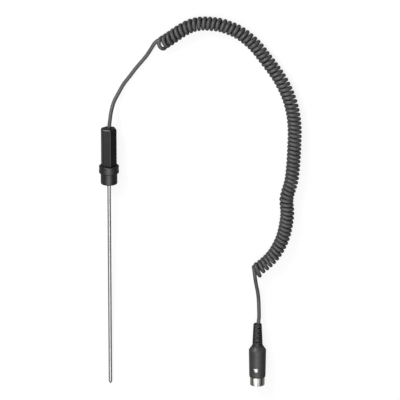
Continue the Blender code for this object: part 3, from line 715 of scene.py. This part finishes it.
def make_cap(finishes):
    """Spigot, waisted collar and boss."""
    guide_r = SHEATH_R + GAP
    socket_r = guide_r + FERRULE_WALL + GAP
    boss_r = HANDLE_APOTHEM - HANDLE_WALL - GAP
    groove = COLLAR_BACK + SEAL_PLACE
    groove_r = boss_r - GAP - SEAL_SECTION
    back_lip = COLLAR_BACK - COLLAR_BACK_BEVEL
    lip = COLLAR_FRONT + COLLAR_CHAMFER
    waist = (lip + COLLAR_LIP + back_lip) / 2
    floor = CAP_FRONT + GUIDE_LENGTH
    profile = rounded(
        [
            (guide_r, CAP_FRONT),
            (guide_r + GUIDE_RING, CAP_FRONT),
            (SPIGOT_R, CAP_FRONT, SPIGOT_FILLET),
            (SPIGOT_R, COLLAR_FRONT, SPIGOT_ROOT_R),
            (COLLAR_R - COLLAR_CHAMFER, COLLAR_FRONT, COLLAR_FACE_R),
            (COLLAR_R, lip, COLLAR_EDGE_R),
            (COLLAR_R, lip + COLLAR_LIP / 2, COLLAR_EDGE_R),
            (COLLAR_R - COLLAR_WAIST, waist - COLLAR_LIP / 2, COLLAR_WAIST_R),
            (COLLAR_R - COLLAR_WAIST, waist + COLLAR_LIP / 2, COLLAR_WAIST_R),
            (COLLAR_BACK_R, back_lip - COLLAR_LIP / 2, COLLAR_EDGE_R),
            (COLLAR_BACK_R, back_lip, COLLAR_RIM_R),
            (COLLAR_BACK_R - COLLAR_BACK_BEVEL, COLLAR_BACK, COLLAR_FACE_R),
            (boss_r, COLLAR_BACK),
            (boss_r, groove - SEAL_SECTION / 2 - GAP),
            (groove_r, groove - SEAL_SECTION / 2 - GAP),
            (groove_r, groove + SEAL_SECTION / 2 + GAP),
            (boss_r, groove + SEAL_SECTION / 2 + GAP),
            (boss_r, BOSS_END, BOSS_EDGE_R),
            (socket_r, BOSS_END),
            (socket_r, floor),
            (guide_r, floor),
        ]
    )
    mesh = mesh_of("end_cap_moulding", revolved(profile, CAP_SIDES), CAP_SHARP_ANGLE)
    add_piece("end_cap_moulding", mesh, "cap_plastic", finishes, PROBE, ["end_cap"])


def hexagon(apothem):
    """The handle's section: a hexagon with rounded corners and split flats, anticlockwise."""
    outline = []
    reach = (apothem - HANDLE_CORNER_R) / math.cos(math.radians(30))
    for corner in range(6):
        middle = 60 * corner - 90 + math.degrees(HANDLE_TURN)
        place = math.radians(middle)
        centre = (reach * math.cos(place), reach * math.sin(place))
        outline += arc(centre, HANDLE_CORNER_R, middle - 30, middle + 30, CORNER_STEPS)
    split = []
    for here, after in zip(outline, outline[1:] + outline[:1]):
        split.append(here)
        if math.dist(here, after) > HANDLE_CORNER_R:
            shares = [k / FLAT_STEPS for k in range(1, FLAT_STEPS)]
            split += [tuple(Vector(here).lerp(Vector(after), share)) for share in shares]
    return split


def circle_like(outline, radius):
    """Points on a circle at the angles of an outline's points."""
    return [(radius * x / math.hypot(x, y), radius * y / math.hypot(x, y)) for x, y in outline]


def make_handle(finishes):
    """The hexagonal shell with its rounded cable end and the lip round its cable hole."""
    section = hexagon(HANDLE_APOTHEM)
    bore = circle_like(section, HANDLE_APOTHEM - HANDLE_WALL)
    hole = circle_like(section, HOLE_R)
    rings = [at_height(bore, SHELL_FRONT)]
    for x, z in arc((0, HANDLE_BASE_R), HANDLE_BASE_R, -90, 0, BASE_STEPS):
        rings.append(at_height(hexagon(HANDLE_APOTHEM - HANDLE_BASE_R + x), SHELL_FRONT + z))
    for x, z in arc((0, -HANDLE_END_R), HANDLE_END_R, 0, 90, END_STEPS):
        rings.append(at_height(hexagon(HANDLE_APOTHEM - HANDLE_END_R + x), SHELL_END + z))
    lip = rounded(
        [
            (HOLE_R + LIP_WALL + 2 * LIP_ROOT, SHELL_END),
            (HOLE_R + LIP_WALL, SHELL_END, LIP_ROOT),
            (HOLE_R + LIP_WALL, PROBE_END, LIP_EDGE_R),
            (HOLE_R, PROBE_END, LIP_ROOT),
            (HOLE_R, SHELL_FLOOR),
        ]
    )
    rings += [at_height(circle_like(section, r), z) for r, z in lip]
    rings.append(at_height(hole, SHELL_FLOOR))
    rings.append(at_height(bore, SHELL_FLOOR))
    mesh = mesh_of("hexagonal_grip", lofted(rings, closed=True))
    add_piece("hexagonal_grip", mesh, "handle_plastic", finishes, PROBE, ["handle_shell"])


def keyed_outline(shrink):
    """The shroud's section with its pressed key channel at local -Y, moved inwards by shrink."""
    radius = SHROUD_R - shrink
    slope = math.atan2(KEY_DEPTH, (KEY_WIDTH - KEY_FLOOR_WIDTH) / 2)
    half_floor = KEY_FLOOR_WIDTH / 2 + shrink * math.tan(slope / 2)
    floor_y = -(SHROUD_R - KEY_DEPTH - shrink)
    # Where the channel's sloping side meets the circle, closed in on by repeating the sum
    side = 0.0
    for _ in range(KEY_ROUNDS):
        side = half_floor + (math.sqrt(radius**2 - side**2) + floor_y) / math.tan(slope)
    mouth_angle = math.degrees(math.asin(side / radius))
    circle = arc((0, 0), radius, -90 + mouth_angle, 270 - mouth_angle, SHROUD_STEPS)
    mouth = circle[0]
    corners = [
        circle[-2],
        (-mouth[0], mouth[1], KEY_ROUND),
        (-half_floor, floor_y, KEY_ROUND),
        (half_floor, floor_y, KEY_ROUND),
        (mouth[0], mouth[1], KEY_ROUND),
        circle[1],
    ]
    return circle[1:-1] + rounded(corners, KEY_STEPS)[1:-1]


def make_shroud(finishes):
    """The drawn metal shroud with a rounded rim."""
    half = SHROUD_WALL / 2
    rings = []
    for x, z in arc((half, half), half, 180, 360, RIM_STEPS):
        rings.append(at_height(keyed_outline(SHROUD_WALL - x), z))
    rings.append(at_height(keyed_outline(0.0), SHROUD_LENGTH))
    rings.append(at_height(keyed_outline(SHROUD_WALL), SHROUD_LENGTH))
    mesh = mesh_of("keyed_shroud", lofted(rings, closed=True))
    return add_piece("keyed_shroud", mesh, "nickel_plate", finishes, PLUG, ["plug_shroud"])


def pin_place(angle):
    """A pin's place, from its angle on the pin circle in degrees."""
    turn = math.radians(90 + angle)
    return PIN_CIRCLE_R * math.cos(turn), PIN_CIRCLE_R * math.sin(turn)


def make_insulator(finishes):
    """The insulator with a bevelled front, holed for its pins."""
    edge = INSULATOR_EDGE
    shrink = SHROUD_WALL + GAP
    back = INSULATOR_SETBACK + INSULATOR_THICKNESS
    rings = [
        at_height(keyed_outline(shrink + edge), INSULATOR_SETBACK),
        at_height(keyed_outline(shrink), INSULATOR_SETBACK + edge),
        at_height(keyed_outline(shrink), back),
    ]
    body = mesh_of("insulator_body", lofted(rings))
    holes = bmesh.new()
    hole_r = PIN_R + GAP
    for angle in PIN_ANGLES:
        x, y = pin_place(angle)
        profile = [
            (0, INSULATOR_SETBACK - edge),
            (hole_r + 2 * edge, INSULATOR_SETBACK - edge),
            (hole_r, INSULATOR_SETBACK + edge),
            (hole_r, back + edge),
            (0, back + edge),
        ]
        part = revolved(profile, HOLE_SIDES)
        bmesh.ops.translate(part, verts=part.verts, vec=(x, y, 0))
        holes.from_mesh(mesh_of("hole", part))
    mesh = combined(body, [mesh_of("holes", holes)], "DIFFERENCE")
    return add_piece("insulator_disc", mesh, "pin_plastic", finishes, PLUG, ["pin_insulator"])


def make_pins(finishes):
    """Round-nosed pins with a shallow solder cup at the back."""
    pins = []
    nose = [(r, PIN_SETBACK + PIN_R - z) for z, r in arc((0, 0), PIN_R, 0, 90, NOSE_STEPS)]
    cup_floor = PIN_BACK - CUP_DEPTH
    profile = [*nose, (PIN_R, PIN_BACK), (CUP_R, PIN_BACK), (CUP_R, cup_floor), (0, cup_floor)]
    for number, angle in enumerate(PIN_ANGLES, 1):
        name = f"round_pin_{number}"
        mesh = mesh_of(name, revolved(profile, PIN_SIDES))
        mesh.transform(Matrix.Translation((*pin_place(angle), 0)))
        pins.append(add_piece(name, mesh, "nickel_plate", finishes, PLUG, [f"contact_pin_{number}"]))
    return pins


def window_outline(reach, corner):
    """The latch window's outline, grown by reach, with round corners."""
    wide = WINDOW_WIDTH / 2 + reach
    long = WINDOW_LENGTH / 2 + reach
    corners = [(-wide, -long), (wide, -long), (wide, long), (-wide, long)]
    return rounded([(*point, corner) for point in corners], WINDOW_STEPS, closed=True)


def make_sleeve(finishes):
    """The plug's sleeve with a dished window over the latch."""
    nose_r = SLEEVE_BORE_R + SLEEVE_NOSE_WALL
    profile = rounded(
        [
            (SLEEVE_BORE_R, SLEEVE_SETBACK),
            (nose_r, SLEEVE_SETBACK, SLEEVE_RIM_R),
            (SLEEVE_R - SLEEVE_TAPER, SLEEVE_SETBACK + SLEEVE_NOSE_LENGTH, SLEEVE_BEND_R),
            (SLEEVE_R, SLEEVE_BACK, SLEEVE_BEND_R),
            (BOOT_HOLE_R + SHOULDER_WALL, SHOULDER_END, SHOULDER_RIM_R),
            (BOOT_HOLE_R, SHOULDER_END),
            (BOOT_HOLE_R, SHOULDER_END - SHOULDER_LENGTH / 2),
            (SLEEVE_BORE_R, BORE_END),
        ]
    )
    body = mesh_of("sleeve_body", revolved(profile, SLEEVE_SIDES))
    top = SLEEVE_R - SLEEVE_TAPER * (SLEEVE_BACK - WINDOW_PLACE) / (SLEEVE_BACK - SLEEVE_SETBACK)
    dish = revolved([(0, top / 2), (DISH_R, top / 2), (DISH_R, 2 * top), (0, 2 * top)], DISH_SIDES)
    bmesh.ops.rotate(dish, verts=dish.verts, matrix=Matrix.Rotation(math.pi / 2, 3, "X"))
    bmesh.ops.translate(dish, verts=dish.verts, vec=(0, 0, WINDOW_PLACE))
    core_r = top - DISH_DEPTH
    core = [(0, 0), (core_r, 0), (core_r, SLEEVE_BACK), (0, SLEEVE_BACK)]
    hollow = combined(mesh_of("dish", dish), [mesh_of("core", revolved(core, SLEEVE_SIDES))], "DIFFERENCE")
    floor = core_r - WINDOW_FLARE
    loops = [(0.0, SHROUD_R - GAP), (0.0, floor)]
    for i in range(1, FLARE_STEPS + 1):
        angle = math.radians(90 * i / FLARE_STEPS)
        loops.append((WINDOW_FLARE * (1 - math.cos(angle)), floor + WINDOW_FLARE * math.sin(angle)))
    loops.append((WINDOW_FLARE, 2 * top))
    rings = []
    for flare, reach in loops:
        outline = window_outline(flare, WINDOW_CORNER + flare)
        rings.append([(x, -reach, WINDOW_PLACE + z) for x, z in outline])
    window = mesh_of("window", lofted(rings))
    mesh = combined(body, [hollow, window], "DIFFERENCE")
    return add_piece("plug_grip_sleeve", mesh, "sleeve_plastic", finishes, PLUG, ["plug_sleeve"])


def half_tube(profile, start):
    """A profile swept almost half round about Z, with closed ends."""
    split = math.asin(GAP / (CORD_R + GAP))
    rings = []
    for i in range(FRAME_STEPS + 1):
        angle = start + split + (math.pi - 2 * split) * i / FRAME_STEPS
        rings.append([(r * math.cos(angle), r * math.sin(angle), z) for r, z in profile])
    return lofted(rings)


def make_frames(finishes):
    """Two pressed halves behind the shroud: the upper one has the latch, the lower one grips the cord."""
    inner_r = FRAME_R - FRAME_WALL
    crimp_bore = CORD_R + GAP
    body = [(inner_r, FRAME_FRONT), (FRAME_R, FRAME_FRONT), (FRAME_R, FRAME_BACK, FRAME_BEND_R)]
    upper = [*body, (CRIMP_R, CRIMP_FRONT), (crimp_bore, CRIMP_FRONT), (inner_r, FRAME_BACK, FRAME_BEND_R)]
    lower = [
        *body,
        (CRIMP_R, CRIMP_FRONT, CRIMP_BEND_R),
        (CRIMP_R, CRIMP_END),
        (crimp_bore, CRIMP_END),
        (crimp_bore, CRIMP_FRONT, CRIMP_BEND_R),
        (inner_r, FRAME_BACK, FRAME_BEND_R),
    ]
    upper_mesh = mesh_of("upper", half_tube(rounded(upper, closed=True), math.pi))
    wide = WINDOW_WIDTH / 2 - LATCH_MARGIN
    front = WINDOW_PLACE - WINDOW_LENGTH / 2 + LATCH_MARGIN
    back = WINDOW_PLACE + WINDOW_LENGTH / 2 - LATCH_MARGIN
    top = SLEEVE_R - LATCH_SINK
    root = FRAME_R - FRAME_WALL / 2
    side = rounded(
        [
            (-root, front),
            (-FRAME_R, front, LATCH_ROOT_R),
            (-top, front + LATCH_RAMP, LATCH_TOP_R),
            (-top, back - LATCH_BACK_RAMP, LATCH_TOP_R),
            (-FRAME_R, back, LATCH_ROOT_R),
            (-root, back),
        ]
    )
    middle_y = -(root + top) / 2
    rim = wide - LATCH_EDGE
    rings = []
    for x, share in ((-wide, LATCH_EDGE_SHARE), (-rim, 1.0), (rim, 1.0), (wide, LATCH_EDGE_SHARE)):
        rings.append([(x, middle_y + (y - middle_y) * share if y < middle_y else y, z) for y, z in side])
    latch = mesh_of("latch", lofted(rings))
    mesh = combined(upper_mesh, [latch], "UNION")
    made = [add_piece("latch_frame", mesh, "sheet_steel", finishes, PLUG, ["plug_frame_upper"])]
    mesh = mesh_of("crimp_frame", half_tube(rounded(lower, closed=True), 0.0))
    made.append(add_piece("crimp_frame", mesh, "sheet_steel", finishes, PLUG, ["plug_frame_lower"]))
    return made


def make_boot(finishes):
    """The bend relief: a wall of cells round and along, its slots' cells left out, its edges bevelled."""
    cells = 360 // BOOT_CELL
    taper = (BOOT_ROOT_R - BOOT_END_R) / BOOT_LENGTH
    heights = [(FLANGE_FRONT, BOOT_ROOT_R + BOOT_FLANGE_RIM), (FLANGE_BACK, BOOT_ROOT_R + BOOT_FLANGE_RIM)]
    heights += [(FLANGE_BACK, BOOT_ROOT_R), (SHOULDER_END, BOOT_ROOT_R)]
    slots = {}
    for row in range(SLOT_ROWS):
        low = SHOULDER_END + SLOT_PITCH * (row + 1) - SLOT_WIDTH / 2
        slots[len(heights)] = row
        for z in (low, low + SLOT_WIDTH):
            heights.append((z, BOOT_ROOT_R - taper * (z - SHOULDER_END)))
    crown_centre = (BOOT_END_R - BOOT_END_ROUND, BOOT_END - BOOT_END_ROUND)
    crown = arc(crown_centre, BOOT_END_ROUND, 0, 90, CROWN_STEPS)
    heights += [(z, r) for r, z in crown]

    def is_open(i, j):
        """Whether a slot takes the cell: the slots of every other row lie a quarter turn on."""
        if i not in slots:
            return False
        middle = 90 * (slots[i] % 2)
        away = abs((j + 0.5) * BOOT_CELL - middle) % 180
        return min(away, 180 - away) < SLOT_SWEEP / 2

    bm = bmesh.new()
    outer = []
    inner = []
    for z, radius in heights:
        for store, r in ((outer, radius), (inner, BOOT_BORE_R)):
            angles = [math.radians(BOOT_CELL * j) for j in range(cells)]
            store.append([bm.verts.new((r * math.cos(a), r * math.sin(a), z)) for a in angles])
    last = len(heights) - 1
    for i in range(last):
        for j in range(cells):
            k = (j + 1) % cells
            if is_open(i, j):
                continue
            bm.faces.new((outer[i][j], outer[i][k], outer[i + 1][k], outer[i + 1][j]))
            if heights[i + 1][0] > heights[i][0]:
                bm.faces.new((inner[i][j], inner[i + 1][j], inner[i + 1][k], inner[i][k]))
            for beside, a, b in ((j - 1, j, j), (j + 1, k, k)):
                if is_open(i, beside % cells):
                    bm.faces.new((outer[i][a], outer[i + 1][b], inner[i + 1][b], inner[i][a]))
            for beyond, row in ((i - 1, i), (i + 1, i + 1)):
                if beyond in slots and is_open(beyond, j):
                    bm.faces.new((outer[row][j], outer[row][k], inner[row][k], inner[row][j]))
    for row in (0, last):
        for j in range(cells):
            k = (j + 1) % cells
            bm.faces.new((outer[row][j], outer[row][k], inner[row][k], inner[row][j]))
    mesh = mesh_of("slotted_boot", bm)
    boot = add_piece("slotted_boot", mesh, "boot_rubber", finishes, PLUG, ["plug_boot"])
    bevel = boot.modifiers.new("soft_edges", "BEVEL")
    bevel.width = BOOT_BEVEL
    bevel.segments = 2
    bevel.limit_method = "ANGLE"
    bevel.angle_limit = math.radians(BOOT_BEVEL_ANGLE)
    return boot


def smooth_route(points, step):
    """Points about one step apart on a smooth curve through the route's own points."""
    route = [Vector(point) for point in points]
    route = [2 * route[0] - route[1], *route, 2 * route[-1] - route[-2]]
    dense = [route[1]]
    for p0, p1, p2, p3 in zip(route, route[1:], route[2:], route[3:]):
        for i in range(1, CURVE_STEPS + 1):
            t = i / CURVE_STEPS
            bend = 2 * p0 - 5 * p1 + 4 * p2 - p3
            twist = 3 * (p1 - p2) + p3 - p0
            dense.append(p1 + 0.5 * ((p2 - p0) * t + bend * t**2 + twist * t**3))
    reach = [0.0]
    for a, b in zip(dense, dense[1:]):
        reach.append(reach[-1] + (b - a).length)
    count = max(2, round(reach[-1] / step))
    smooth = []
    k = 0
    for i in range(count + 1):
        along = reach[-1] * i / count
        while k < len(dense) - 2 and reach[k + 1] < along:
            k += 1
        share = (along - reach[k]) / (reach[k + 1] - reach[k])
        smooth.append(dense[k].lerp(dense[k + 1], share))
    return smooth


def read_off(table, place):
    """The value at a place, read from a table of (place, value) with straight lines between."""
    for (a, low), (b, high) in zip(table, table[1:]):
        if place <= b:
            return low + (high - low) * (place - a) / (b - a)
    return table[-1][1]


def drifting(seed, turn):
    """A smooth random value from -1 to 1 that changes from turn to turn."""
    values = random.Random(seed)
    drawn = [values.uniform(-1, 1) for _ in range(WOBBLE_DRAWS)]
    whole = int(turn)
    share = turn - whole
    ease = share * share * (3 - 2 * share)
    return drawn[whole] * (1 - ease) + drawn[whole + 1] * ease


def coil_turns():
    """The curly part: a left-handed helix about its centre line, resting on the surface."""
    line = smooth_route([(x, y, 0.0) for x, y in COIL_ROUTE], LINE_STEP)
    step = sum((b - a).length for a, b in zip(line, line[1:])) / (len(line) - 1)
    turned = [0.0]
    for i in range(1, len(line)):
        turned.append(turned[-1] + step / read_off(COIL_PITCHES, (i - 0.5) * step))
    first = FIRST_ANGLE / math.tau
    loop = math.floor(turned[-1] - LAST_ANGLE / math.tau)
    last = loop + LAST_ANGLE / math.tau
    count = round((last - first) * TURN_STEPS)
    points = []
    k = 0
    for i in range(count + 1):
        turn = first + (last - first) * i / count
        while k < len(turned) - 2 and turned[k + 1] < turn:
            k += 1
        share = (turn - turned[k]) / (turned[k + 1] - turned[k])
        centre = line[k].lerp(line[k + 1], share)
        before = line[max(k - LOOK_AHEAD, 0)]
        ahead = (line[min(k + LOOK_AHEAD, len(line) - 1)] - before).normalized()
        left = Vector((-ahead.y, ahead.x, 0))
        lean = math.radians(read_off(LEANS, turn) + LEAN_WOBBLE * drifting(CORD_SEED, turn))
        up = Vector((0, 0, 1)) * math.cos(lean) - ahead * math.sin(lean)
        angle = math.tau * turn
        point = centre + TURN_R * (math.cos(angle) * left - math.sin(angle) * up)
        point += ahead * SPACING_WOBBLE * drifting(CORD_SEED + 1, turn)
        point += left * SIDE_WOBBLE * drifting(CORD_SEED + 2, turn / SIDE_WOBBLE_TURNS)
        near = max(0.0, 1 - 2 * abs(turn - loop))
        swing = near * near * (3 - 2 * near)
        point += (ahead * LAST_SWING[0] + left * LAST_SWING[1]) * swing
        point.z += CORD_R + TURN_R * math.cos(lean)
        points.append(point)
    return points


def on_probe(place, across=0.0):
    """A point on the probe's axis, or beside it."""
    return PROBE @ Vector((across, 0, place))


def on_plug(place, across=0.0):
    """A point on the plug's axis, or beside it."""
    return Vector((PLUG_X + across, PLUG_RIM_Y + place, PLUG_Z))


def make_cord(finishes):
    """One curly cord from the ring inside the handle to the crimp inside the plug."""
    start = [on_probe(JACKET_END), on_probe(SHELL_FLOOR), on_probe(PROBE_END, HOLE_SLACK)]
    turns = coil_turns()
    joined = turns[: TAKEN_OVER + 1 : 3]
    first_lead = smooth_route([*start, *HANDLE_LEAD_ROUTE, *joined], LEAD_STEP)
    slack = BOOT_BORE_R - CORD_R - GAP
    end = [on_plug(BOOT_END, slack), on_plug(CRIMP_END), on_plug(CRIMP_FRONT + GAP)]
    joined = turns[1 - TAKEN_OVER :: 2]
    last_lead = smooth_route([*joined, *PLUG_LEAD_ROUTE, *end], LEAD_STEP)
    points = first_lead[:-1] + turns[TAKEN_OVER:-TAKEN_OVER] + last_lead
    curve = bpy.data.curves.new("curly_cord", "CURVE")
    curve.dimensions = "3D"
    curve.bevel_depth = CORD_R
    curve.bevel_resolution = BEVEL_STEPS
    curve.use_fill_caps = True
    spline = curve.splines.new("POLY")
    spline.points.add(len(points) - 1)
    for place, point in zip(spline.points, points):
        place.co = (*point, 1.0)
    spline.use_smooth = True
    nodes = ["cord_lead_handle", "cord_coil", "cord_lead_plug"]
    cord = add_piece("curly_cord", curve, "cord_jacket", finishes, Matrix.Identity(4), nodes)
    return cord


def seen_directly(tree, gloss_share):
    """1 for rays from the camera or through glass, a share for gloss, and 0 for light on the object."""
    path = tree.nodes.new("ShaderNodeLightPath")
    total = math_node(tree, "MAXIMUM", path.outputs["Is Camera Ray"], path.outputs["Is Transmission Ray"])
    gloss = math_node(tree, "MULTIPLY", path.outputs["Is Glossy Ray"], gloss_share)
    return math_node(tree, "MAXIMUM", total, gloss)


def make_floor():
    """A floor that keeps the object's shadow and looks white where nothing stands near, with painted shade
    where things stand close.
    """
    bm = bmesh.new()
    reach = FLOOR_REACH
    corners = ((-reach, -reach), (reach, -reach), (reach, reach), (-reach, reach))
    bm.faces.new([bm.verts.new((x, y, -FLOOR_DROP)) for x, y in corners])
    mesh = bpy.data.meshes.new("floor")
    bm.to_mesh(mesh)
    bm.free()
    floor = new_object("floor", mesh)
    made = bpy.data.materials.new("white_floor")
    made.use_nodes = True
    tree = made.node_tree
    tree.nodes.clear()
    plain = add_node(tree, "ShaderNodeBsdfDiffuse", Color=(FLOOR_TONE, FLOOR_TONE, FLOOR_TONE, 1.0))
    # Painted shade: occlusion within OPEN_REACH cuts down the white glow, darkening the floor in gaps and
    # under the coil
    above = add_node(tree, "ShaderNodeAmbientOcclusion", Distance=OPEN_REACH)
    above.samples = OPEN_SAMPLES
    white_with_painted_shade = ranged(tree, above.outputs["AO"], 0.0, FLOOR_WHITE, OPEN_FROM, OPEN_TO)
    white = math_node(tree, "MULTIPLY", seen_directly(tree, GLOSS_SHARE), white_with_painted_shade)
    glow = add_node(tree, "ShaderNodeEmission", Color=(1.0, 1.0, 1.0, 1.0), Strength=white)
    both = tree.nodes.new("ShaderNodeAddShader")
    tree.links.new(plain.outputs[0], both.inputs[0])
    tree.links.new(glow.outputs[0], both.inputs[1])
    output = tree.nodes.new("ShaderNodeOutputMaterial")
    tree.links.new(both.outputs[0], output.inputs["Surface"])
    mesh.materials.append(made)


def make_world():
    """Soft light from all round, white where it is seen directly."""
    world = bpy.data.worlds.new("studio")
    bpy.context.scene.world = world
    world.use_nodes = True
    tree = world.node_tree
    tree.nodes.clear()
    place = tree.nodes.new("ShaderNodeTexCoord")
    parts = add_node(tree, "ShaderNodeSeparateXYZ", Vector=place.outputs["Generated"])
    height = ranged(tree, parts.outputs["Z"], WORLD_HORIZON, WORLD_ZENITH, *WORLD_HEIGHTS)
    side = ranged(tree, parts.outputs["X"], WORLD_LEFT, WORLD_RIGHT, *WORLD_SIDES)
    level = math_node(tree, "MULTIPLY", height, side)
    strength = math_node(tree, "MAXIMUM", level, seen_directly(tree, 0.0))
    sky = add_node(tree, "ShaderNodeBackground", Color=(1.0, 1.0, 1.0, 1.0), Strength=strength)
    output = tree.nodes.new("ShaderNodeOutputWorld")
    tree.links.new(sky.outputs[0], output.inputs["Surface"])


def make_lights():
    """A broad softbox overhead and a smaller, brighter one beyond the handle's cable end."""
    for name, place, size, power in SOFTBOXES:
        lamp = bpy.data.lights.new(name, "AREA")
        lamp.shape = "SQUARE"
        lamp.size = size
        lamp.energy = power
        obj = new_object(name, lamp)
        obj.location = place
        aim = Vector(LAMP_TARGET) - Vector(place)
        obj.rotation_euler = aim.to_track_quat("-Z", "Y").to_euler()


def make_camera():
    """A long lens from far above, tilted as the photograph's view is."""
    lens = bpy.data.cameras.new("camera")
    lens.lens = CAMERA_LENS
    lens.sensor_width = SENSOR_WIDTH
    camera = new_object("camera", lens)
    back = Vector((0, math.sin(CAMERA_TILT), math.cos(CAMERA_TILT)))
    camera.location = Vector(CAMERA_TARGET) + back * CAMERA_DISTANCE
    camera.rotation_euler = (-CAMERA_TILT, 0, 0)
    bpy.context.scene.camera = camera


def main():
    """Builds the scene."""
    bpy.context.scene.view_settings.view_transform = "Standard"
    finishes = make_materials()
    dress_nodes(finishes)
    make_sheath(finishes)
    make_cap(finishes)
    make_handle(finishes)
    plug_pieces = [
        make_shroud(finishes),
        make_insulator(finishes),
        *make_pins(finishes),
        *make_frames(finishes),
        make_sleeve(finishes),
        make_boot(finishes),
        *(f"plug_core_{number}" for number in range(1, 5)),
    ]
    make_cord(finishes)
    make_floor()
    make_world()
    make_lights()
    make_camera()


main()
